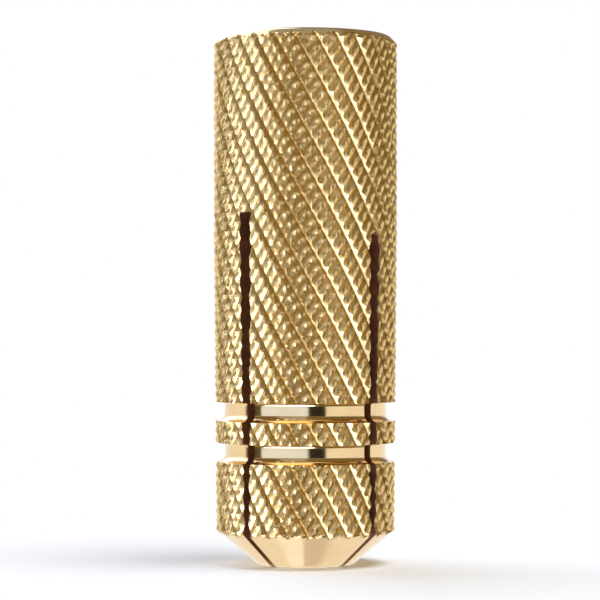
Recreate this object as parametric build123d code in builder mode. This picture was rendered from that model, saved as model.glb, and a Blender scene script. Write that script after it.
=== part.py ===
"""Slotted brass expansion insert, M8 thread for a 10 mm hole, in millimetres.

The insert stands on its tip with +Z up along its axis. The origin is the centre of the tip face, the
mouth of the thread is at the top, and the four fingers are below. -Y is the front.
"""

import math
import os

from build123d import *

# Overall form
length = 28.0
knurl_diameter = 9.8

# Bare turned rim round the mouth, just inside the knurl's valleys and narrower at its top
rim_height = 0.4
rim_inset = 0.02
mouth_diameter = 9.0

# Tip
tip_diameter = 5.44
cone_height = 1.82

# The two grooves, by the height of their lower walls
groove_width = 1.0
groove_depth = 0.52
lower_groove_height = 5.44
groove_pitch = 2.16

# Bore: an M8 thread's core, then the taper that the bolt's end pushes against
thread_core_diameter = 6.65
thread_entry_diameter = 8.2
taper_height = 8.0
tip_hole_diameter = 3.8

# Saw cuts and the fingers between them, which are pressed in at the tip
saw_diameter = 50.0
slit_width = 0.75
slit_tip_width = 0.34
deep_slit_height = 18.5
shallow_slit_height = 17.5
deep_slit_turn = 45.0
shallow_slit_turn = -45.0
crimp = 0.17

# Knurl: ridges that run down to the right, each cut into studs by finer crossing grooves
ridges = 27
cross_grooves_per_ridge = 2
knurl_angle = 31.0
knurl_depth = 0.24
knurl_turn = 0.0

knurl_radius = knurl_diameter / 2
valley_radius = knurl_radius - knurl_depth
core_radius = thread_core_diameter / 2
entry_radius = thread_entry_diameter / 2
finger_height = min(deep_slit_height, shallow_slit_height)
# How far tools and stock reach past the finished surface
margin = 1.0


def pressed_in(height):
    """How far the finger at this height stands inside the straight bar's surface."""
    return crimp * max(0.0, 1 - height / finger_height)


def lattice_point(ridge, cross, rise):
    """The crossing of two groove lines, which may be half lines, lifted by rise above the valleys.

    Lines of one family climb to the left at knurl_angle and those of the other climb to the right,
    so their sum gives the place round the bar and their difference gives the height.
    """
    around = ridge / ridges + cross / (ridges * cross_grooves_per_ridge)
    along = ridge / ridges - cross / (ridges * cross_grooves_per_ridge)
    turn = math.pi * around + math.radians(knurl_turn)
    height = math.pi * along * knurl_radius / math.tan(math.radians(knurl_angle))
    radius = valley_radius - pressed_in(height) + rise
    return Vector(radius * math.cos(turn), radius * math.sin(turn), height)


def facet(*corners):
    """A flat three-cornered face."""
    return Face(Wire.make_polygon(corners))


def knurled_bar():
    """A bar covered in four-sided studs, from a little below the tip to a little above the mouth."""
    row_height = lattice_point(0, -1, 0).Z
    rows = range(-2, math.ceil(length / row_height) + 1)
    lower_end = Vector(0, 0, 2 * row_height * rows.start)
    upper_end = Vector(0, 0, length + 4 * row_height)
    # Each side of a stud meets the stud of the row that lies this many rows on
    neighbour_rows = (1, cross_grooves_per_ridge, -1, -cross_grooves_per_ridge)
    facets = []
    for row in rows:
        for ridge in range(ridges):
            cross = cross_grooves_per_ridge * ridge - row
            peak = lattice_point(ridge + 0.5, cross + 0.5, knurl_depth)
            corners = [
                lattice_point(ridge, cross, 0),
                lattice_point(ridge + 1, cross, 0),
                lattice_point(ridge + 1, cross + 1, 0),
                lattice_point(ridge, cross + 1, 0),
            ]
            for side, rows_on in enumerate(neighbour_rows):
                start = corners[side]
                end = corners[(side + 1) % len(corners)]
                facets.append(facet(start, end, peak))
                if row + rows_on not in rows:
                    facets.append(facet(end, start, upper_end if rows_on > 0 else lower_end))
    return Solid(Shell(facets))


def saw_cut(root_height):
    """The metal that one pass of the slitting saw takes out, narrowed where the fingers close."""
    saw_radius = saw_diameter / 2
    saw_centre = root_height - math.sqrt(saw_radius**2 - knurl_radius**2)
    with BuildPart() as cut:
        with BuildSketch(Plane.XZ):
            with Locations((0, saw_centre)):
                Circle(saw_radius)
        extrude(amount=slit_width, both=True)
        with BuildSketch(Plane.YZ):
            with BuildLine():
                Polyline(
                    (-slit_tip_width / 2, -margin),
                    (-slit_tip_width / 2, 0),
                    (-slit_width / 2, root_height),
                    (-slit_width / 2, root_height + margin),
                    (slit_width / 2, root_height + margin),
                    (slit_width / 2, root_height),
                    (slit_tip_width / 2, 0),
                    (slit_tip_width / 2, -margin),
                    close=True,
                )
            make_face()
        extrude(amount=saw_radius, both=True, mode=Mode.INTERSECT)
    return cut.part


def groove_outline(lower_wall):
    """Four corners of a groove in the half section, from its lower wall up."""
    upper_wall = lower_wall + groove_width
    floor = knurl_radius - groove_depth - pressed_in((lower_wall + upper_wall) / 2)
    outside = knurl_radius + margin
    return [(outside, lower_wall), (floor, lower_wall), (floor, upper_wall), (outside, upper_wall)]


bar = knurled_bar()
deep_cut = saw_cut(deep_slit_height)
shallow_cut = saw_cut(shallow_slit_height)

tip_radius = tip_diameter / 2
cone_slope = (knurl_radius - pressed_in(cone_height) - tip_radius) / cone_height
cone_reach = knurl_radius + margin - tip_radius
entry_depth = entry_radius - core_radius

with BuildPart() as insert_body:
    with BuildSketch(Plane.XZ):
        with BuildLine():
            Polyline(
                (tip_hole_diameter / 2, 0),
                (tip_radius, 0),
                (tip_radius + cone_reach, cone_reach / cone_slope),
                *groove_outline(lower_groove_height),
                *groove_outline(lower_groove_height + groove_pitch),
                (knurl_radius + margin, length - rim_height),
                (valley_radius - rim_inset, length - rim_height),
                (mouth_diameter / 2, length),
                (entry_radius, length),
                (core_radius, length - entry_depth),
                (core_radius, taper_height),
                close=True,
            )
        make_face()
    revolve()
    with Locations(Rotation(0, 0, deep_slit_turn)):
        add(deep_cut, mode=Mode.SUBTRACT)
    with Locations(Rotation(0, 0, shallow_slit_turn)):
        add(shallow_cut, mode=Mode.SUBTRACT)
    add(bar, mode=Mode.INTERSECT)

insert_body.part.label = "insert_body"

os.makedirs("parts", exist_ok=True)
export_step(insert_body.part, "parts/insert_body.step")
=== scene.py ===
"""Slotted brass expansion insert, standing on its tip in plain studio light.

The knurled bar is worked out as one closed surface of height and turn. The drill, the tap and the
slitting saw are closed surfaces too, and are taken out of the bar one after another, so each face
keeps the finish of the tool that made it. Sizes are in millimetres, and meshes in metres.
"""

import logging
import math
from dataclasses import dataclass, field
from enum import IntEnum

import bpy
import numpy as np
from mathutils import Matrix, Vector


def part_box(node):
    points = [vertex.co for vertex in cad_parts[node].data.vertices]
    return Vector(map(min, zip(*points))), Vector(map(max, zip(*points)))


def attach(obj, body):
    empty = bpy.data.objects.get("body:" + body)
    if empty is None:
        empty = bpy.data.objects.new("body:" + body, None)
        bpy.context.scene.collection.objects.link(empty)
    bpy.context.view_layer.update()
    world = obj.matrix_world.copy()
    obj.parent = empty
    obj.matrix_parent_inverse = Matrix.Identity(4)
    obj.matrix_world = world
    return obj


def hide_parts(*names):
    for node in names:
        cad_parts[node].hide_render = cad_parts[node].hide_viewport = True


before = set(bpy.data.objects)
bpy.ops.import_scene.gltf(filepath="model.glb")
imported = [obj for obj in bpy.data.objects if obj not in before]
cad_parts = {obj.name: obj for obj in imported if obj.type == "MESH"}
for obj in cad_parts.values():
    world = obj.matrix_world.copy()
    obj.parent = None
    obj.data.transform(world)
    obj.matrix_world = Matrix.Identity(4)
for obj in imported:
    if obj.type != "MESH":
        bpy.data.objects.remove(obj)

LOG = logging.getLogger("threaded_insert")

MM = 0.001
TAU = 2 * math.pi
BODY = "root"
NODE = "insert_body"

# More than rounding errors, and less than any real step
TINY = 1e-6
WHITE = (1, 1, 1, 1)
# Numbers of the sockets of a Mix node that mixes colours
MIX_SHARE = 0
MIX_FIRST = 6
MIX_SECOND = 7
MIX_RESULT = 2

Colour = tuple[float, float, float]
# A value for a node's input, or the output socket to link it from
Input = float | tuple[float, ...] | bpy.types.NodeSocket
# Heights of rows, the radii that turning left there, and 1 where the knurl reaches
Rows = tuple[np.ndarray, np.ndarray | float, int]


class Surface(IntEnum):
    """Which tool made a stretch of surface, as the material slot that it takes."""

    KNURLED = 0
    TURNED = 1
    BORED = 2
    SAWN = 3


@dataclass(frozen=True)
class Grid:
    """A surface of rows and columns of points, in millimetres, closed round its columns.

    Attributes:
        points: rows by columns by 3 coordinates.
        climb: rows that a line round the surface gains in one turn, which is nought unless it winds.
    """

    points: np.ndarray
    climb: int = 0

    def cells(self) -> np.ndarray:
        """Gives the four point numbers of each cell, anticlockwise as seen from outside.

        The last column's cells join the first column, as many rows up as the surface climbs.

        Returns:
            Rows less one and less the climb, by columns, by 4 point numbers.
        """
        rows, columns = self.points.shape[:2]
        numbers = np.arange(rows * columns).reshape(rows, columns)
        used = rows - self.climb
        here = numbers[:used]
        beside = np.concatenate([numbers[:used, 1:], numbers[self.climb:, :1]], axis=1)
        return np.stack([here[:-1], beside[:-1], beside[1:], here[1:]], axis=-1)

    def rim(self, at_top: bool) -> np.ndarray:
        """Gives the point numbers round one open end, anticlockwise as seen from above.

        Args:
            at_top: whether the end is the last row or the first.

        Returns:
            Point numbers, which step down through the climb where the surface winds.
        """
        rows, columns = self.points.shape[:2]
        row = rows - 1 - self.climb if at_top else 0
        step = (row + np.arange(self.climb, 0, -1)) * columns
        return np.concatenate([row * columns + np.arange(columns), step])


def mark_faces(mesh: bpy.types.Mesh, slots: np.ndarray, smooth: np.ndarray) -> None:
    """Sets each face's material slot and whether it is shaded smooth.

    Args:
        mesh: the mesh.
        slots: a slot number for each face.
        smooth: whether each face is smooth.
    """
    mesh.polygons.foreach_set("material_index", slots.astype(np.int32))
    mesh.polygons.foreach_set("use_smooth", smooth.astype(bool))
    mesh.update()


def closed_mesh(name: str, grid: Grid, cells: np.ndarray, ends: np.ndarray) -> bpy.types.Mesh:
    """Makes a mesh of a grid and closes each end with a fan of triangles.

    Args:
        name: the mesh's name.
        grid: the rows of points, from the bottom up.
        cells: the faces between the rows, by their point numbers.
        ends: the middle point of the lower fan and of the upper one, in millimetres.

    Returns:
        The mesh, in metres. Its last faces are the fans.
    """
    count = grid.points.shape[0] * grid.points.shape[1]
    points = np.concatenate([grid.points.reshape(-1, 3), ends]) * MM
    lower, upper = grid.rim(False), grid.rim(True)
    below = np.stack([np.roll(lower, -1), lower, np.full(len(lower), count)], axis=-1)
    above = np.stack([upper, np.roll(upper, -1), np.full(len(upper), count + 1)], axis=-1)
    faces = [cells.reshape(-1, cells.shape[-1]), below, above]
    corners = np.concatenate([part.ravel() for part in faces]).astype(np.int32)
    sizes = np.concatenate([np.full(len(part), part.shape[1]) for part in faces])
    starts = np.concatenate([[0], np.cumsum(sizes)[:-1]]).astype(np.int32)
    mesh = bpy.data.meshes.new(name)
    mesh.vertices.add(len(points))
    mesh.vertices.foreach_set("co", points.astype(np.float32).ravel())
    mesh.loops.add(len(corners))
    mesh.loops.foreach_set("vertex_index", corners)
    mesh.polygons.add(len(sizes))
    mesh.polygons.foreach_set("loop_start", starts)
    mesh.update(calc_edges=True)
    return mesh


def cutter_mesh(name: str, grid: Grid, ends: np.ndarray, surface: Surface) -> bpy.types.Mesh:
    """Makes a cutting tool's mesh, smooth all over and with one finish.

    Args:
        name: the mesh's name.
        grid: the rows of points, from the bottom up.
        ends: the middle points of the two ends, in millimetres.
        surface: the finish that the tool leaves.

    Returns:
        The closed mesh.
    """
    mesh = closed_mesh(name, grid, grid.cells(), ends)
    count = len(mesh.polygons)
    mark_faces(mesh, np.full(count, int(surface)), np.ones(count))
    return mesh


def turned_points(radius: np.ndarray, height: np.ndarray | float, turn: np.ndarray) -> np.ndarray:
    """Places points by radius, height and turn: x and y are the radius by cosine and by sine.

    Args:
        radius: distances from the axis.
        height: heights along it.
        turn: angles round it in radians. The three fit one shape.

    Returns:
        The points, with their 3 coordinates along the last axis.
    """
    radius, height, turn = np.broadcast_arrays(radius, height, turn)
    return np.stack([radius * np.cos(turn), radius * np.sin(turn), height], axis=-1)


@dataclass
class Knurl:
    """Crossed ridges rolled into the bar.

    Seen from outside, the back ridges run down to the right, and every second valley between them is
    shallow. The cross ridges run down to the left. The surface is the lower of the two families.

    Attributes:
        back_pairs: deep back valleys round the bar.
        cross_ridges: cross ridges round the bar.
        angle: between the ridges and the axis, in degrees.
        depth: of the deep valleys, below the crests.
        shallow_valley: depth of every second back valley, as a share of the deep ones.
        cross_valley: depth of the cross valleys, as a share of the deep ones.
        crest: height at which worn crests end, as a share of the depth.
        spread: how much the studs differ in height, as a share of the depth.
        grain: how much the rolled metal's points differ in height, as a share of the depth.
        cells: grid columns across a cross ridge.
        seed: start of the random draws.
        table: rows and columns of the table of the studs' heights, which repeats past them.
    """

    back_pairs: int = 27
    cross_ridges: int = 54
    angle: float = 31.0
    depth: float = 0.23
    shallow_valley: float = 0.4
    cross_valley: float = 0.75
    crest: float = 0.92
    spread: float = 0.08
    grain: float = 0.085
    cells: int = 6
    seed: int = 7
    table: tuple[int, int] = (97, 89)

    @property
    def columns(self) -> int:
        """Grid columns round the bar."""
        return self.cross_ridges * self.cells

    def row_step(self, radius: float) -> float:
        """Height of a grid row, chosen so that the ridges run along the cells' diagonals."""
        return TAU * radius / (self.columns * math.tan(math.radians(self.angle)))

    def rise(self, turn: np.ndarray, height: np.ndarray, radius: float) -> tuple[np.ndarray, np.ndarray]:
        """Works out how far the ridges stand above the valleys.

        A family's profile is a row of triangles: one less the valley's depth times how near the
        valley's middle is. The surface is the lesser of both families, scaled stud by stud, cut off
        at the crest and lowered at random by up to the grain.

        Args:
            turn: angle round the bar in radians, as an array.
            height: height along the bar, as an array of the same shape.
            radius: the bar's radius.

        Returns:
            The rise, and whether the back family is the lower one there.
        """
        climb = height * math.tan(math.radians(self.angle)) / radius
        back = 2 * self.back_pairs * (turn + climb) / TAU
        cross = self.cross_ridges * (turn - climb) / TAU
        back_valley, cross_valley = np.rint(back), np.rint(cross)
        valley = np.where(back_valley % 2 == 0, 1.0, self.shallow_valley)
        back_rise = 1 - valley * (1 - 2 * np.abs(back - back_valley))
        cross_rise = 1 - self.cross_valley * (1 - 2 * np.abs(cross - cross_valley))
        random = np.random.default_rng(self.seed)
        shares = random.uniform(-self.spread, self.spread, self.table)
        row = np.floor(back + TINY).astype(int) % self.table[0]
        column = np.floor(cross + TINY).astype(int) % self.table[1]
        share = 1 + shares[row, column]
        rise = np.minimum(np.minimum(back_rise, cross_rise) * share, self.crest)
        rise += random.uniform(-self.grain, 0, rise.shape)
        return self.depth * np.maximum(rise, 0), back_rise < cross_rise


@dataclass
class Bar:
    """The turned and knurled bar, before it is drilled and slit.

    Heights are measured from the tip's face.

    Attributes:
        length: from the tip's face to the mouth.
        radius: over the knurl's crests.
        knurl: the ridges rolled into it.
        mouth_bevel: height and depth of the bevel round the mouth.
        mouth_step: how far inside the crests the bevel begins.
        mouth_curl: share of the bevel that bends in, while the rest is straight.
        tip_radius: of the cone at the tip's face, were its edge sharp.
        cone_height: of the turned cone at the tip.
        cone_clear: how much further in than the knurl's depth the cone's closer rows begin.
        cone_past: how far past the cone's top its last row may lie.
        tip_rounding: height and depth of the tip's rounded edge.
        groove_width: of each groove.
        groove_depth: of each groove, inside the crests.
        groove_fillets: radii of the corners at a groove's lower and upper walls.
        lower_groove: height of the lower groove's lower wall.
        groove_pitch: from one groove to the next.
        crimp: how far the fingers are pressed in at the tip's face.
        finger_height: of the fingers' roots, where the crimp ends.
        fine_step: between the rows of a bevel.
        tip_rows: rows of the tip's rounded edge.
        cone_rows: rows of the cone's plain part.
        fillet_rows: rows of a groove's corner.
    """

    length: float
    radius: float
    knurl: Knurl = field(default_factory=Knurl)
    mouth_bevel: float = 0.42
    mouth_step: float = 0.04
    mouth_curl: float = 0.3
    tip_radius: float = 2.72
    cone_height: float = 1.82
    cone_clear: float = 0.06
    cone_past: float = 0.02
    tip_rounding: float = 0.12
    groove_width: float = 1.0
    groove_depth: float = 0.52
    groove_fillets: tuple[float, float] = (0.42, 0.15)
    lower_groove: float = 5.44
    groove_pitch: float = 2.16
    crimp: float = 0.17
    finger_height: float = 17.5
    fine_step: float = 0.045
    tip_rows: int = 5
    cone_rows: int = 6
    fillet_rows: int = 8

    def pressed_in(self, height: np.ndarray) -> np.ndarray:
        """How far the fingers stand inside the straight bar at each height."""
        return self.crimp * np.maximum(0.0, 1 - height / self.finger_height)

    def heights(self, low: float, high: float) -> np.ndarray:
        """Lists the rows of a knurled stretch: its ends, and whole multiples of the knurl's step.

        A row nearer to an end than a quarter of the step is left out.

        Args:
            low: height of the lowest row.
            high: height of the highest row.

        Returns:
            The rows' heights, from the bottom up.
        """
        step = self.knurl.row_step(self.radius)
        inner = step * np.arange(math.ceil(low / step), math.floor(high / step) + 1)
        clear = step / 4
        inner = inner[(inner > low + clear) & (inner < high - clear)]
        return np.concatenate([[low], inner, [high]])

    def cone(self) -> list[Rows]:
        """Lists the rows of the tip: its rounded edge, the plain cone, and the cone that cuts the knurl.

        The radius grows evenly with the height. Over the rounded edge a bend goes from 0 to 1: the
        height is the rounding by its square, and the radius is less by the rounding times the square
        of one less the bend.

        Returns:
            The three stretches, from the bottom up.
        """
        slope = (self.radius - self.tip_radius) / self.cone_height
        toothed = self.cone_height - (self.knurl.depth + self.cone_clear) / slope
        bend = np.linspace(0, 1, self.tip_rows)
        nose = self.tip_rounding * bend**2
        nose_radius = self.tip_radius - self.tip_rounding * (1 - bend) ** 2 + slope * nose
        plain = np.linspace(self.tip_rounding * 2, toothed - self.fine_step, self.cone_rows)
        teeth = np.arange(toothed, self.cone_height + self.cone_past, self.fine_step)
        return [
            (nose, nose_radius, 0),
            (plain, self.tip_radius + slope * plain, 0),
            (teeth, self.tip_radius + slope * teeth, 1),
        ]

    def groove(self, start: float) -> list[Rows]:
        """Lists the rows of a groove: a quarter circle at its lower wall and one at its upper wall.

        Along a quarter circle, the distance from the wall is its radius by one less the cosine, and
        the distance from the groove's floor is its radius by one less the sine.

        Args:
            start: height of the lower wall.

        Returns:
            The two stretches, from the bottom up.
        """
        floor = self.radius - self.groove_depth
        end = start + self.groove_width
        under, over = self.groove_fillets
        corner = np.linspace(0, math.pi / 2, self.fillet_rows)
        lower = (start + under * (1 - np.cos(corner)), floor + under * (1 - np.sin(corner)), 0)
        corner = corner[::-1]
        upper = (end - over * (1 - np.cos(corner)), floor + over * (1 - np.sin(corner)), 0)
        return [lower, upper]

    def mouth(self, bevel: float) -> Rows:
        """Lists the rows of the mouth's bevel.

        The radius drops by the bevel, for one part evenly and for the rest along a quarter circle:
        one less the root of one less the square of the way up.

        Args:
            bevel: height at which it begins.

        Returns:
            The stretch, from the bottom up.
        """
        height = np.arange(bevel, self.length - self.fine_step / 2, self.fine_step)
        height = np.append(height, self.length)
        sweep = np.clip((height - bevel) / self.mouth_bevel, 0, 1)
        curl = self.mouth_curl * (1 - np.sqrt(1 - sweep**2))
        drop = self.mouth_step + self.mouth_bevel * ((1 - self.mouth_curl) * sweep + curl)
        return height, self.radius - drop, 1

    def profile(self) -> np.ndarray:
        """Lists the bar's rows from the tip up.

        Returns:
            Rows by 3 numbers: height, the radius that turning left there, and 1 where the knurl
            reaches or 0 where it doesn't. The radius is endless where the knurl alone bounds the bar.
        """
        rows = self.cone()
        cone_heights = rows[-1][0]
        low = cone_heights[-1] + self.fine_step
        for start in (self.lower_groove, self.lower_groove + self.groove_pitch):
            rows.append((self.heights(low, start), np.inf, 1))
            rows.extend(self.groove(start))
            low = start + self.groove_width
        bevel = self.length - self.mouth_bevel
        rows.append((self.heights(low, bevel - self.fine_step), np.inf, 1))
        rows.append(self.mouth(bevel))
        parts = [np.stack(np.broadcast_arrays(*row), axis=-1) for row in rows]
        return np.concatenate(parts)

    def build(self) -> bpy.types.Mesh:
        """Makes the bar as one closed mesh.

        The radius at each height and turn is the lesser of what turning left and what the knurl
        reaches, less the crimp. A cell is split along the ridge that crosses it.

        Returns:
            The mesh, with its knurled faces flat and its turned faces smooth.
        """
        height, limit, reaches = self.profile().T
        turn = TAU * np.arange(self.knurl.columns) / self.knurl.columns
        high, around = np.meshgrid(height, turn, indexing="ij")
        rise, along_back = self.knurl.rise(around, high, self.radius)
        ridged = self.radius - self.knurl.depth * self.knurl.crest + rise
        turned = np.broadcast_to(limit[:, None], ridged.shape)
        knurled = (reaches[:, None] > 0) & (ridged < turned)
        radius = np.where(knurled, ridged, turned) - self.pressed_in(high)
        grid = Grid(turned_points(radius, high, around))

        cells = grid.cells()
        low_left, low_right, high_right, high_left = (cells[..., corner] for corner in range(4))
        falling = [[low_left, low_right, high_left], [low_right, high_right, high_left]]
        rising = [[low_left, low_right, high_right], [low_left, high_right, high_left]]
        falling, rising = (np.moveaxis(np.array(split), (0, 1), (2, 3)) for split in (falling, rising))
        along = (along_back[:-1] & along_back[1:])[..., None, None]
        triangles = np.where(along, falling, rising)
        ends = np.array([[0, 0, height[0]], [0, 0, height[-1]]])
        mesh = closed_mesh("bar", grid, triangles, ends)

        beside = np.roll(knurled, -1, axis=1)
        touched = knurled[:-1] | knurled[1:] | beside[:-1] | beside[1:]
        # Two rows at one height bound the wall of a groove, which is turned
        touched &= (np.diff(height) > TINY)[:, None]
        rough = np.zeros(len(mesh.polygons), bool)
        rough[:touched.size * 2] = np.repeat(touched.ravel(), 2)
        mark_faces(mesh, np.where(rough, Surface.KNURLED, Surface.TURNED), ~rough)
        return mesh


@dataclass
class Drill:
    """The drilled and countersunk bore, narrower towards the tip where the bolt spreads the fingers.

    Attributes:
        length: of the bar.
        core_radius: of the bore that the thread is cut into.
        entry_radius: of the countersink at the mouth.
        taper_height: over which the bore widens from the tip's hole to the core.
        tip_hole_radius: of the hole in the tip's face.
        overrun: how far the drill reaches past both ends.
        columns: points round it.
    """

    length: float
    core_radius: float = 3.325
    entry_radius: float = 4.1
    taper_height: float = 8.0
    tip_hole_radius: float = 1.9
    overrun: float = 1.0
    columns: int = 144

    def build(self) -> bpy.types.Mesh:
        """Makes the bore as a surface of revolution: its profile of radius and height, turned.

        Returns:
            The closed mesh.
        """
        flare = self.entry_radius - self.core_radius
        radius, height = np.array([
            (self.tip_hole_radius, -self.overrun),
            (self.tip_hole_radius, 0.0),
            (self.core_radius, self.taper_height),
            (self.core_radius, self.length - flare),
            (self.entry_radius, self.length),
            (self.entry_radius + self.overrun, self.length + self.overrun),
        ]).T
        turn = TAU * np.arange(self.columns) / self.columns
        points = turned_points(radius[:, None], height[:, None], turn)
        ends = np.array([[0, 0, height[0]], [0, 0, height[-1]]])
        return cutter_mesh("drill", Grid(points), ends, Surface.BORED)


@dataclass
class Tap:
    """The screw thread that is cut into the bore, right-handed.

    Attributes:
        length: of the bar.
        pitch: climb in one turn.
        major_radius: at the bottom of the thread's groove.
        hidden_radius: of the tap between its turns, inside the drilled core.
        start: height at which the groove begins.
        lead_turns: turns over which it grows to its full depth.
        overrun: how far the tap reaches past the mouth.
        columns: points in a turn.
        crest_share: half of the flat at the groove's bottom, as a share of the pitch.
        flank_angle: between a flank and the plane across the axis, in degrees.
    """

    length: float
    pitch: float = 1.25
    major_radius: float = 4.0
    hidden_radius: float = 3.22
    start: float = 8.6
    lead_turns: float = 2.5
    overrun: float = 0.9
    columns: int = 108
    crest_share: float = 1 / 16
    flank_angle: float = 30.0

    def build(self) -> bpy.types.Mesh:
        """Makes the tap as a winding surface.

        Along the pitch the radius is flat at the crest, falls by the flank's slope and stops inside
        the drilled core. Each point also climbs by one pitch a turn, and the crest grows over the
        lead's turns from nothing, as a tap's taper leaves it.

        Returns:
            The closed mesh.
        """
        slope = math.tan(math.radians(self.flank_angle))
        flank = (self.major_radius - self.hidden_radius) * slope / self.pitch
        third = flank / 3
        foot = self.crest_share + flank
        half = np.array([0, self.crest_share, self.crest_share + third, foot - third, foot])
        shares = np.concatenate([half, [0.5], 1 - half[:0:-1]])
        turns = math.ceil((self.length + self.overrun - self.start) / self.pitch) + 1
        along = (np.arange(turns)[:, None] + shares).ravel()
        turn = np.arange(self.columns) / self.columns
        climbed = along[:, None] + turn
        away = np.minimum(along % 1, 1 - along % 1)[:, None]
        fall = (away - self.crest_share) * self.pitch / slope
        deep = np.clip(self.major_radius - fall, self.hidden_radius, self.major_radius)
        lead = np.clip((climbed - 1) / self.lead_turns, 0, 1)
        radius = self.hidden_radius + (deep - self.hidden_radius) * lead
        height = self.start + self.pitch * (climbed - 1)
        grid = Grid(turned_points(radius, height, TAU * turn), climb=len(shares))
        ends = np.array([[0, 0, height.min() - self.pitch], [0, 0, height.max() + self.pitch]])
        return cutter_mesh("tap", grid, ends, Surface.BORED)


@dataclass
class SawCut:
    """One pass of the slitting saw across the whole bar, narrowed where the fingers close.

    Attributes:
        name: the cut's name.
        height: of the root, where it leaves the bar.
        turn: of the cut round the axis, in degrees.
        rounding: of the root's two corners.
        bar_radius: of the bar that it goes through.
        saw_radius: of the saw's blade.
        width: of the cut at its root.
        tip_width: of the cut at the tip's face.
        reach: how far the cut goes to either side of the axis.
        overrun: how far it goes below the tip's face.
        steps: grid steps across the bar, and points up each side of the cut.
        corner_steps: grid steps round each corner of the root.
    """

    name: str
    height: float
    turn: float
    rounding: float
    bar_radius: float
    saw_radius: float = 25.0
    width: float = 0.75
    tip_width: float = 0.34
    reach: float = 6.5
    overrun: float = 1.0
    steps: int = 32
    corner_steps: int = 6

    def build(self) -> bpy.types.Mesh:
        """Makes the cut as an outline carried straight across the bar.

        The outline goes up one side, over the root and down the other. Its half width grows evenly
        from the tip to the root, and the root follows the saw's arc across the bar.

        Returns:
            The closed mesh.
        """
        across = np.linspace(-self.reach, self.reach, self.steps + 1)
        edge = math.sqrt(self.saw_radius**2 - self.bar_radius**2)
        arc = np.sqrt(self.saw_radius**2 - across**2) - edge
        bend = np.linspace(0, math.pi / 2, self.corner_steps + 1)[1:]
        half, tip_half = self.width / 2, self.tip_width / 2
        side = np.linspace(0, 1, self.steps)
        straight = self.height - self.rounding
        rounded = straight + self.rounding * np.sin(bend)
        rise = np.concatenate([[-self.overrun], side * straight, rounded])
        narrowed = half - self.rounding * (1 - np.cos(bend))
        out = np.concatenate([[tip_half], tip_half + side * (half - tip_half), narrowed])
        rise, out = np.concatenate([rise, rise[::-1]]), np.concatenate([out, -out[::-1]])
        rise = rise + arc[:, None] * np.clip(rise / self.height, 0, 1)
        angle = math.radians(self.turn)
        along, out = np.broadcast_arrays(across[:, None], out)
        points = np.stack([
            along * math.cos(angle) - out * math.sin(angle),
            along * math.sin(angle) + out * math.cos(angle),
            rise,
        ], axis=-1)
        ends = points[[0, -1]].mean(axis=1)
        return cutter_mesh(self.name, Grid(points), ends, Surface.SAWN)


def node(tree: bpy.types.NodeTree, kind: str, inputs: dict[str | int, Input] | None = None,
         **settings: str | bpy.types.NodeTree) -> bpy.types.Node:
    """Adds a node to a tree.

    Args:
        tree: the node tree.
        kind: the node's type name.
        inputs: a value, or an output socket to link from, for each input by name or number.
        settings: values for the node's own properties.

    Returns:
        The node.
    """
    new = tree.nodes.new(kind)
    for key, value in settings.items():
        setattr(new, key, value)
    for key, value in (inputs or {}).items():
        if isinstance(value, bpy.types.NodeSocket):
            tree.links.new(value, new.inputs[key])
        else:
            new.inputs[key].default_value = value
    return new


def maths(tree: bpy.types.NodeTree, operation: str, *values: Input) -> bpy.types.NodeSocket:
    """Adds a Math node.

    Args:
        tree: the node tree.
        operation: the Math node's operation.
        values: numbers or sockets, in order.

    Returns:
        The output socket.
    """
    return node(tree, "ShaderNodeMath", dict(enumerate(values)), operation=operation).outputs[0]


def eased(tree: bpy.types.NodeTree, value: Input, low: float, high: float) -> bpy.types.NodeSocket:
    """Adds a Map Range node that takes a value smoothly from 0 to 1 between two limits.

    Args:
        tree: the node tree.
        value: the socket to read.
        low: where the output leaves 0.
        high: where it reaches 1.

    Returns:
        The output socket.
    """
    inputs = {"Value": value, "From Min": low, "From Max": high}
    return node(tree, "ShaderNodeMapRange", inputs, interpolation_type="SMOOTHSTEP").outputs["Result"]


def mixed(tree: bpy.types.NodeTree, share: Input, first: Input, second: Input) -> bpy.types.NodeSocket:
    """Adds a Mix node for colours.

    Args:
        tree: the node tree.
        share: how much of the second colour there is, as a number or socket.
        first: a colour with alpha, or a socket.
        second: a colour with alpha, or a socket.

    Returns:
        The output socket.
    """
    inputs = {MIX_SHARE: share, MIX_FIRST: first, MIX_SECOND: second}
    return node(tree, "ShaderNodeMix", inputs, data_type="RGBA").outputs[MIX_RESULT]


def group(name: str, inputs: dict[str, float | None],
          outputs: list[str]) -> tuple[bpy.types.NodeTree, bpy.types.NodeOutputs, bpy.types.Node]:
    """Starts a node group.

    Args:
        name: the group's name.
        inputs: each input's default value, or None for a vector.
        outputs: the names of its value outputs.

    Returns:
        The group's tree, its input sockets by name, and its output node.
    """
    tree = bpy.data.node_groups.new(name, "ShaderNodeTree")
    for key, value in inputs.items():
        kind = "NodeSocketVector" if value is None else "NodeSocketFloat"
        socket = tree.interface.new_socket(key, in_out="INPUT", socket_type=kind)
        if value is not None:
            socket.default_value = value
    for key in outputs:
        tree.interface.new_socket(key, in_out="OUTPUT", socket_type="NodeSocketFloat")
    start = tree.nodes.new("NodeGroupInput")
    end = tree.nodes.new("NodeGroupOutput")
    return tree, start.outputs, end


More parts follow.
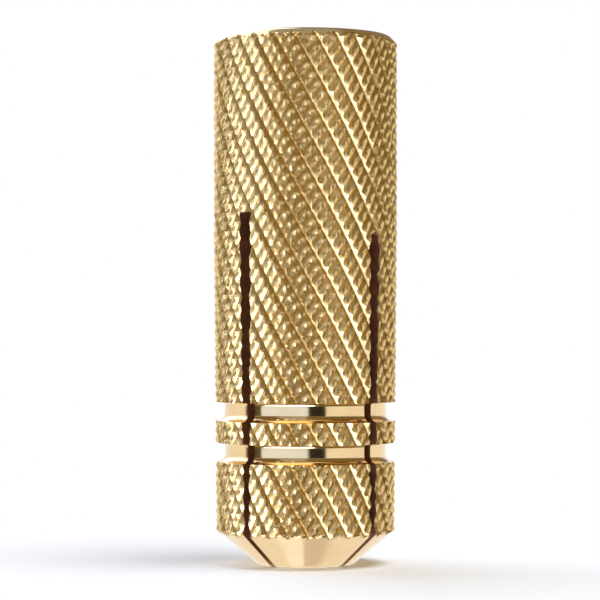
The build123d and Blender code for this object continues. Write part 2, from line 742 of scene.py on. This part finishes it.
def speckle_group() -> bpy.types.NodeTree:
    """Builds the fine unevenness of cut brass: a height, and a mask of slow patches.

    The height is noise plus a share of finer cells. The mask is larger noise, eased from 0 to 1
    between two of its values.

    Returns:
        The group, whose Size is in metres.
    """
    finer = 2.7
    finer_share = 0.35
    larger = 0.23
    patch_from = 0.35
    patch_to = 0.65
    tree, sockets, end = group("brass_speckle", {"Vector": None, "Size": 0.1 * MM}, ["Height", "Mask"])
    place = sockets["Vector"]
    scale = maths(tree, "DIVIDE", 1.0, sockets["Size"])
    coarse = node(tree, "ShaderNodeTexNoise", {"Vector": place, "Scale": scale, "Detail": 2.0})
    fine_scale = maths(tree, "MULTIPLY", scale, finer)
    fine = node(tree, "ShaderNodeTexVoronoi", {"Vector": place, "Scale": fine_scale})
    height = maths(tree, "MULTIPLY_ADD", fine.outputs["Distance"], finer_share, coarse.outputs[0])
    tree.links.new(height, end.inputs["Height"])
    patch_scale = maths(tree, "MULTIPLY", scale, larger)
    patches = node(tree, "ShaderNodeTexNoise", {"Vector": place, "Scale": patch_scale, "Detail": 3.0})
    tree.links.new(eased(tree, patches.outputs[0], patch_from, patch_to), end.inputs["Mask"])
    return tree


def ring_group() -> bpy.types.NodeTree:
    """Builds the rings that a turning tool leaves: noise that changes fast along the axis alone.

    Returns:
        The group, whose Spacing is in metres.
    """
    slowness_around = 0.012
    tree, sockets, end = group("tool_rings", {"Vector": None, "Spacing": 0.05 * MM}, ["Height"])
    along = maths(tree, "DIVIDE", 1.0, sockets["Spacing"])
    around = maths(tree, "MULTIPLY", along, slowness_around)
    scale = node(tree, "ShaderNodeCombineXYZ", {"X": around, "Y": around, "Z": along}).outputs[0]
    inputs = {0: sockets["Vector"], 1: scale}
    stretched = node(tree, "ShaderNodeVectorMath", inputs, operation="MULTIPLY").outputs[0]
    noise = node(tree, "ShaderNodeTexNoise", {"Vector": stretched, "Scale": 1.0, "Detail": 1.0})
    tree.links.new(noise.outputs[0], end.inputs["Height"])
    return tree


def valley_shade_group(bar: Bar) -> bpy.types.NodeTree:
    """Builds a mask of painted shade in the knurl's valleys, from how far a point lies inside the
    pressed-in crests.

    Args:
        bar: the bar, whose radius and crimp the mask follows.

    Returns:
        The group. Its mask grows from 0 to 1 between two shares of the Depth, which is in metres.
    """
    dark_from = 0.5
    dark_to = 1.05
    tree, sockets, end = group("knurl_valley_shade", {"Vector": None, "Depth": 0.3 * MM}, ["Mask"])
    parts = node(tree, "ShaderNodeSeparateXYZ", {0: sockets["Vector"]}).outputs
    flat = node(tree, "ShaderNodeCombineXYZ", {"X": parts["X"], "Y": parts["Y"]}).outputs[0]
    radius = node(tree, "ShaderNodeVectorMath", {0: flat}, operation="LENGTH").outputs["Value"]
    inputs = {"Value": parts["Z"], "From Min": 0.0, "From Max": bar.finger_height * MM,
              "To Min": (bar.radius - bar.crimp) * MM, "To Max": bar.radius * MM}
    crest = node(tree, "ShaderNodeMapRange", inputs).outputs["Result"]
    inside = maths(tree, "SUBTRACT", crest, radius)
    share = maths(tree, "DIVIDE", inside, sockets["Depth"])
    tree.links.new(eased(tree, share, dark_from, dark_to), end.inputs["Mask"])
    return tree


@dataclass(frozen=True)
class Finish:
    """How one tool leaves the brass.

    Attributes:
        name: the material's name.
        patches: how far slow patches take the darker colour, from 0 to 1.
        roughness: of clean metal.
        speckle_height: of the fine unevenness.
        colour: of clean metal.
        tarnish_and_shade: the darker colour. The slow patches take it as metal that the air and the
            cutting oil have darkened, and the valleys take it as painted shade.
        valley_shade: painted shade in the valleys, as how far they take the darker colour, from 0 to 1.
        dullness: what the full darker colour adds to the roughness.
        speckle_size: of the fine unevenness.
        ring_spacing: of the tool's rings.
        ring_height: of the tool's rings.
    """

    name: str
    patches: float
    roughness: float
    speckle_height: float
    colour: Colour = (0.87, 0.62, 0.31)
    tarnish_and_shade: Colour = (0.44, 0.29, 0.12)
    valley_shade: float = 0.0
    dullness: float = 0.1
    speckle_size: float = 0.1
    ring_spacing: float = 0.05
    ring_height: float = 0.0

    def material(self, speckle: bpy.types.NodeTree, rings: bpy.types.NodeTree,
                 valleys: bpy.types.NodeTree, valley_depth: float) -> bpy.types.Material:
        """Makes the finish's material from the shared groups.

        Args:
            speckle: the group of fine unevenness.
            rings: the group of tool rings.
            valleys: the group that masks the knurl's valleys for their painted shade.
            valley_depth: how deep the valleys are.

        Returns:
            The material.
        """
        made = bpy.data.materials.new(self.name)
        made.use_nodes = True
        tree = made.node_tree
        tree.nodes.clear()
        place = node(tree, "ShaderNodeTexCoord").outputs["Object"]
        spots = node(tree, "ShaderNodeGroup", node_tree=speckle)
        lines = node(tree, "ShaderNodeGroup", node_tree=rings)
        low = node(tree, "ShaderNodeGroup", node_tree=valleys)
        for pattern in (spots, lines, low):
            tree.links.new(place, pattern.inputs["Vector"])
        spots.inputs["Size"].default_value = self.speckle_size * MM
        lines.inputs["Spacing"].default_value = self.ring_spacing * MM
        low.inputs["Depth"].default_value = valley_depth * MM

        patch = maths(tree, "MULTIPLY", spots.outputs["Mask"], self.patches)
        # Painted shade: the knurl's valleys take the darker colour, on top of the tarnish of the slow
        # patches
        deep = maths(tree, "MULTIPLY", low.outputs["Mask"], self.valley_shade)
        share = maths(tree, "MAXIMUM", patch, deep)
        colour = mixed(tree, share, (*self.colour, 1), (*self.tarnish_and_shade, 1))
        roughness = maths(tree, "MULTIPLY_ADD", share, self.dullness, self.roughness)
        spot_height = maths(tree, "MULTIPLY", spots.outputs["Height"], self.speckle_height * MM)
        height = maths(tree, "MULTIPLY_ADD", lines.outputs["Height"], self.ring_height * MM, spot_height)
        bump = node(tree, "ShaderNodeBump", {"Height": height, "Strength": 1.0, "Distance": 1.0})
        shader = node(tree, "ShaderNodeBsdfPrincipled", {
            "Base Color": colour,
            "Roughness": roughness,
            "Metallic": 1.0,
            "Normal": bump.outputs["Normal"],
        })
        node(tree, "ShaderNodeOutputMaterial", {"Surface": shader.outputs["BSDF"]})
        return made


FINISHES = {
    # The knurled finish darkens its valleys with painted shade
    Surface.KNURLED: Finish(
        "knurled_brass", colour=(0.88, 0.615, 0.26), valley_shade=0.8, patches=0.2, roughness=0.17,
        speckle_size=0.06, speckle_height=0.01,
    ),
    Surface.TURNED: Finish(
        "turned_brass", colour=(0.89, 0.655, 0.355), patches=0.1, roughness=0.1,
        speckle_size=0.3, speckle_height=0.001, ring_height=0.0025,
    ),
    Surface.BORED: Finish(
        "bored_brass", patches=0.3, roughness=0.24, dullness=0.2, speckle_height=0.003,
        ring_spacing=0.04, ring_height=0.002,
    ),
    # The sawn faces' darker, redder colour is partly the saw's finish and partly painted shade on the
    # slits' walls
    Surface.SAWN: Finish(
        "sawn_brass_and_slit_shade", colour=(0.76, 0.46, 0.27), tarnish_and_shade=(0.42, 0.21, 0.12), patches=0.6,
        roughness=0.34, dullness=0.2, speckle_size=0.09, speckle_height=0.008,
        ring_spacing=0.08, ring_height=0.004,
    ),
}


@dataclass
class Insert:
    """The finished insert: the bar with its bore, thread and two slits.

    Attributes:
        bar: the knurled bar.
        drill: what opens its bore.
        tap: what cuts its thread.
        cuts: its slits.
        sharp: the angle between faces from which an edge is drawn sharp, in degrees.
    """

    bar: Bar
    drill: Drill
    tap: Tap
    cuts: tuple[SawCut, ...]
    sharp: float = 32.0

    def cut_out(self, piece: bpy.types.Object, cutter: bpy.types.Mesh) -> None:
        """Takes a closed mesh out of the piece and keeps the result as the piece's mesh.

        Args:
            piece: the object to cut.
            cutter: the mesh to take out.
        """
        tool = bpy.data.objects.new(cutter.name, cutter)
        for made in piece.data.materials:
            cutter.materials.append(made)
        bpy.context.scene.collection.objects.link(tool)
        step = piece.modifiers.new(cutter.name, "BOOLEAN")
        step.operation = "DIFFERENCE"
        step.solver = "MANIFOLD"
        step.object = tool
        graph = bpy.context.evaluated_depsgraph_get()
        mesh = bpy.data.meshes.new_from_object(piece.evaluated_get(graph))
        piece.modifiers.clear()
        piece.data = mesh
        bpy.data.objects.remove(tool)
        LOG.info("%s cut, %d faces left", cutter.name, len(mesh.polygons))

    def build(self) -> bpy.types.Object:
        """Makes the insert and dresses it.

        Returns:
            The object, which rides on its body and stands for the solid of the frame.
        """
        mesh = self.bar.build()
        groups = (speckle_group(), ring_group(), valley_shade_group(self.bar))
        for surface in Surface:
            mesh.materials.append(FINISHES[surface].material(*groups, self.bar.knurl.depth))
        piece = bpy.data.objects.new("knurled_insert", mesh)
        bpy.context.scene.collection.objects.link(piece)
        self.cut_out(piece, self.drill.build())
        self.cut_out(piece, self.tap.build())
        for cut in self.cuts:
            self.cut_out(piece, cut.build())
        piece.data.name = piece.name
        piece.data.set_sharp_from_angle(angle=math.radians(self.sharp))
        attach(piece, BODY)
        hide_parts(NODE)
        return piece


@dataclass(frozen=True)
class Card:
    """A lit or dark card of the studio, as the brass sees it in the distance.

    Attributes:
        left: its left edge round the object, in degrees from the camera, positive to the right.
        right: its right edge.
        low: its lower edge above the horizon, in degrees.
        high: its upper edge.
        colour: the light that it gives.
        softness: over how many degrees its edges fade.
    """

    left: float
    right: float
    low: float
    high: float
    colour: Colour
    softness: float


CARDS = (
    Card(104, 190, 12, 70, (0.26, 0.21, 0.14), 9),
    Card(-190, -100, 14, 75, (1.7, 1.95, 2.5), 9),
    Card(-190, 190, 66, 100, (0.38, 0.38, 0.38), 8),
    Card(-190, 190, -100, -66, (1.14, 1.22, 1.36), 8),
    Card(115, 190, -87, -66, (0.8, 0.74, 0.76), 8),
    Card(-94, 108, 16, 68, (0.21, 0.155, 0.06), 9),
    Card(-96, 108, -68, -14, (0.18, 0.13, 0.05), 7),
    Card(-42, 2, 24, 60, (0.5, 0.48, 0.42), 9),
    Card(-94, -65, -13, 15, (0.1, 0.085, 0.04), 4),
    Card(-66, 14, -64, -25, (4.4, 4.9, 6.2), 5),
    Card(-65, 4, -12, 14, (0.92, 1.08, 1.5), 4),
    Card(4, 29, -14, 16, (0.03, 0.025, 0.02), 3),
)


@dataclass
class Studio:
    """Camera, lamp, light tent, floor and surroundings.

    Attributes:
        camera_turn: where the camera stands, in degrees from the frame's front towards +X.
        distance: from the axis to the camera.
        camera_height: above the floor.
        aim_height: of the point in the middle of the picture.
        aim_left: how far that point lies left of the axis.
        lens: focal length.
        sensor: width of the sensor.
        floor_radius: of the floor.
        floor_inner: radius of the one face in the floor's middle.
        floor_rings: rings of points of the floor.
        floor_columns: points round it.
        floor_colour: of its matt part.
        pool_inner: how far from the insert the floor starts to turn plain white.
        pool_outer: how far from it the floor is plain white.
        lamp_turn: where the shadow lamp hangs, in degrees from the frame's front towards +X.
        lamp_rise: above the horizon, in degrees.
        lamp_distance: from the tip.
        lamp_size: across its disk.
        lamp_power: in watts.
        tent_radius: of the light tent.
        tent_rings: rings of points between its poles.
        tent_columns: points round it.
    """

    camera_turn: float = -4.0
    distance: float = 132.0
    camera_height: float = 12.4
    aim_height: float = 14.0
    aim_left: float = 0.29
    lens: float = 148.8
    sensor: float = 36.0
    floor_radius: float = 400.0
    floor_inner: float = 0.5
    floor_rings: int = 6
    floor_columns: int = 96
    floor_colour: Colour = (0.9, 0.905, 0.915)
    pool_inner: float = 8.0
    pool_outer: float = 34.0
    lamp_turn: float = 60.0
    lamp_rise: float = 70.0
    lamp_distance: float = 600.0
    lamp_size: float = 400.0
    lamp_power: float = 2.3
    tent_radius: float = 1500.0
    tent_rings: int = 31
    tent_columns: int = 64

    def camera(self) -> None:
        """Places the camera at the photograph's viewing angle."""
        turn = math.radians(self.camera_turn)
        away = Vector((math.sin(turn), -math.cos(turn), 0))
        right = Vector((math.cos(turn), math.sin(turn), 0))
        place = away * self.distance + Vector((0, 0, self.camera_height))
        aim = -right * self.aim_left + Vector((0, 0, self.aim_height))
        lens = bpy.data.cameras.new("camera")
        lens.lens = self.lens
        lens.sensor_width = self.sensor
        lens.clip_start = MM
        seen = bpy.data.objects.new("camera", lens)
        seen.location = place * MM
        seen.rotation_euler = (aim - place).to_track_quat("-Z", "Y").to_euler()
        bpy.context.scene.collection.objects.link(seen)
        bpy.context.scene.camera = seen

    def card_group(self) -> bpy.types.NodeTree:
        """Builds the mask of a card: four eased edges in azimuth and elevation, multiplied.

        Each edge fades over its softness, with half of that on either side.

        Returns:
            The group, with its angles in degrees.
        """
        names = ("Azimuth", "Elevation", "Left", "Right", "Low", "High", "Softness")
        tree, sockets, end = group("studio_card", dict.fromkeys(names, 1.0), ["Mask"])
        edges = (("Azimuth", "Left", 1), ("Azimuth", "Right", -1),
                 ("Elevation", "Low", 1), ("Elevation", "High", -1))
        mask = 1.0
        for value, edge, side in edges:
            past = maths(tree, "SUBTRACT", sockets[value], sockets[edge])
            share = maths(tree, "DIVIDE", maths(tree, "MULTIPLY", past, side), sockets["Softness"])
            mask = maths(tree, "MULTIPLY", mask, eased(tree, share, -0.5, 0.5))
        tree.links.new(mask, end.inputs["Mask"])
        return tree

    def world(self) -> None:
        """Makes the surroundings plain white."""
        world = bpy.data.worlds.new("white_surroundings")
        world.use_nodes = True
        bpy.context.scene.world = world
        tree = world.node_tree
        tree.nodes.clear()
        plain = node(tree, "ShaderNodeBackground", {"Color": WHITE, "Strength": 1.0})
        node(tree, "ShaderNodeOutputWorld", {"Surface": plain.outputs[0]})

    def tent(self) -> None:
        """Hangs the light tent, a sphere about the axis that the camera looks through.

        A point's distance from the axis is the tent's radius by the cosine of its elevation, and its
        height is that radius by the sine.
        """
        rise = np.radians(np.linspace(-90, 90, self.tent_rings + 2)[1:-1])[:, None]
        turn = TAU * np.arange(self.tent_columns) / self.tent_columns
        across, up = self.tent_radius * np.cos(rise), self.tent_radius * np.sin(rise)
        grid = Grid(turned_points(across, up, turn))
        ends = np.array([[0, 0, -self.tent_radius], [0, 0, self.tent_radius]])
        mesh = closed_mesh("light_tent", grid, grid.cells(), ends)
        mesh.materials.append(self.tent_material())
        tent = bpy.data.objects.new("light_tent", mesh)
        tent.visible_camera = False
        tent.visible_transmission = False
        bpy.context.scene.collection.objects.link(tent)

    def tent_material(self) -> bpy.types.Material:
        """Makes the tent's material: white cloth, with the cards laid over it in order.

        Returns:
            The material.
        """
        made = bpy.data.materials.new("lit_cloth")
        made.use_nodes = True
        tree = made.node_tree
        tree.nodes.clear()
        place = node(tree, "ShaderNodeTexCoord").outputs["Object"]
        way = node(tree, "ShaderNodeVectorMath", {0: place}, operation="NORMALIZE").outputs[0]
        parts = node(tree, "ShaderNodeSeparateXYZ", {0: way}).outputs
        front = maths(tree, "MULTIPLY", parts["Y"], -1)
        azimuth = maths(tree, "DEGREES", maths(tree, "ARCTAN2", parts["X"], front))
        azimuth = maths(tree, "SUBTRACT", azimuth, self.camera_turn)
        elevation = maths(tree, "DEGREES", maths(tree, "ARCSINE", parts["Z"]))
        cards = self.card_group()
        colour = WHITE
        for card in CARDS:
            mask = node(tree, "ShaderNodeGroup", node_tree=cards)
            tree.links.new(azimuth, mask.inputs["Azimuth"])
            tree.links.new(elevation, mask.inputs["Elevation"])
            for key in ("left", "right", "low", "high", "softness"):
                mask.inputs[key.capitalize()].default_value = getattr(card, key)
            colour = mixed(tree, mask.outputs["Mask"], colour, (*card.colour, 1))
        lit = node(tree, "ShaderNodeEmission", {"Color": colour, "Strength": 1.0})
        node(tree, "ShaderNodeOutputMaterial", {"Surface": lit.outputs[0]})
        return made

    def floor(self) -> None:
        """Lays a pale round floor, in rings of points whose radius grows by one factor each."""
        turn = TAU * np.arange(self.floor_columns) / self.floor_columns
        radius = np.geomspace(self.floor_inner, self.floor_radius, self.floor_rings)[:, None]
        points = turned_points(radius, 0.0, turn)
        grid = Grid(points)
        # The rows run outwards, so the cells are turned over to face up
        cells = grid.cells().reshape(-1, 4)[:, ::-1]
        faces = [*cells.tolist(), grid.rim(False).tolist()]
        mesh = bpy.data.meshes.new("floor")
        mesh.from_pydata((points.reshape(-1, 3) * MM).tolist(), [], faces)
        mesh.update()
        mesh.materials.append(self.floor_material())
        floor = bpy.data.objects.new("floor", mesh)
        floor.visible_glossy = False
        floor.visible_shadow = False
        bpy.context.scene.collection.objects.link(floor)

    def floor_material(self) -> bpy.types.Material:
        """Makes the floor's material: matt near the insert, plain white further off, clear from below.

        Returns:
            The material.
        """
        made = bpy.data.materials.new("pale_floor")
        made.use_nodes = True
        tree = made.node_tree
        tree.nodes.clear()
        place = node(tree, "ShaderNodeTexCoord").outputs["Object"]
        away = node(tree, "ShaderNodeVectorMath", {0: place}, operation="LENGTH").outputs["Value"]
        far = eased(tree, away, self.pool_inner * MM, self.pool_outer * MM)
        matt = node(tree, "ShaderNodeBsdfDiffuse", {"Color": (*self.floor_colour, 1)})
        white = node(tree, "ShaderNodeEmission", {"Color": WHITE, "Strength": 1.0})
        top = node(tree, "ShaderNodeMixShader", {0: far, 1: matt.outputs[0], 2: white.outputs[0]})
        clear = node(tree, "ShaderNodeBsdfTransparent")
        under = node(tree, "ShaderNodeNewGeometry").outputs["Backfacing"]
        both = node(tree, "ShaderNodeMixShader", {0: under, 1: top.outputs[0], 2: clear.outputs[0]})
        node(tree, "ShaderNodeOutputMaterial", {"Surface": both.outputs[0]})
        return made

    def lamp(self) -> None:
        """Hangs the soft lamp that gives the insert its shadow on the floor."""
        light = bpy.data.lights.new("shadow_lamp", "AREA")
        light.shape = "DISK"
        light.size = self.lamp_size * MM
        light.energy = self.lamp_power
        lamp = bpy.data.objects.new("shadow_lamp", light)
        turn, rise = math.radians(self.lamp_turn), math.radians(self.lamp_rise)
        level = math.cos(rise)
        away = Vector((level * math.sin(turn), -level * math.cos(turn), math.sin(rise)))
        lamp.location = away * self.lamp_distance * MM
        lamp.rotation_euler = away.to_track_quat("Z", "Y").to_euler()
        lamp.visible_glossy = False
        bpy.context.scene.collection.objects.link(lamp)

    def build(self) -> None:
        """Sets up the whole studio."""
        self.camera()
        self.world()
        self.tent()
        self.floor()
        self.lamp()
        bpy.context.scene.view_settings.view_transform = "Standard"


def main() -> None:
    """Builds the insert and its studio, and reports each piece."""
    logging.basicConfig(level=logging.INFO, format="%(message)s")
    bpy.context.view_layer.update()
    low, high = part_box(NODE)
    length = (high[2] - low[2]) / MM
    radius = (high[0] - low[0]) / 2 / MM
    insert = Insert(
        bar=Bar(length, radius),
        drill=Drill(length),
        tap=Tap(length),
        cuts=(
            SawCut("deep_slit", height=18.5, turn=45, rounding=0.12, bar_radius=radius),
            SawCut("shallow_slit", height=17.5, turn=-45, rounding=0.37, bar_radius=radius),
        ),
    )
    piece = insert.build()
    count = sum(len(face.vertices) - 2 for face in piece.data.polygons)
    LOG.info("%s: %d triangles", piece.name, count)
    Studio().build()
    LOG.info("studio ready")


if __name__ == "__main__":
    main()
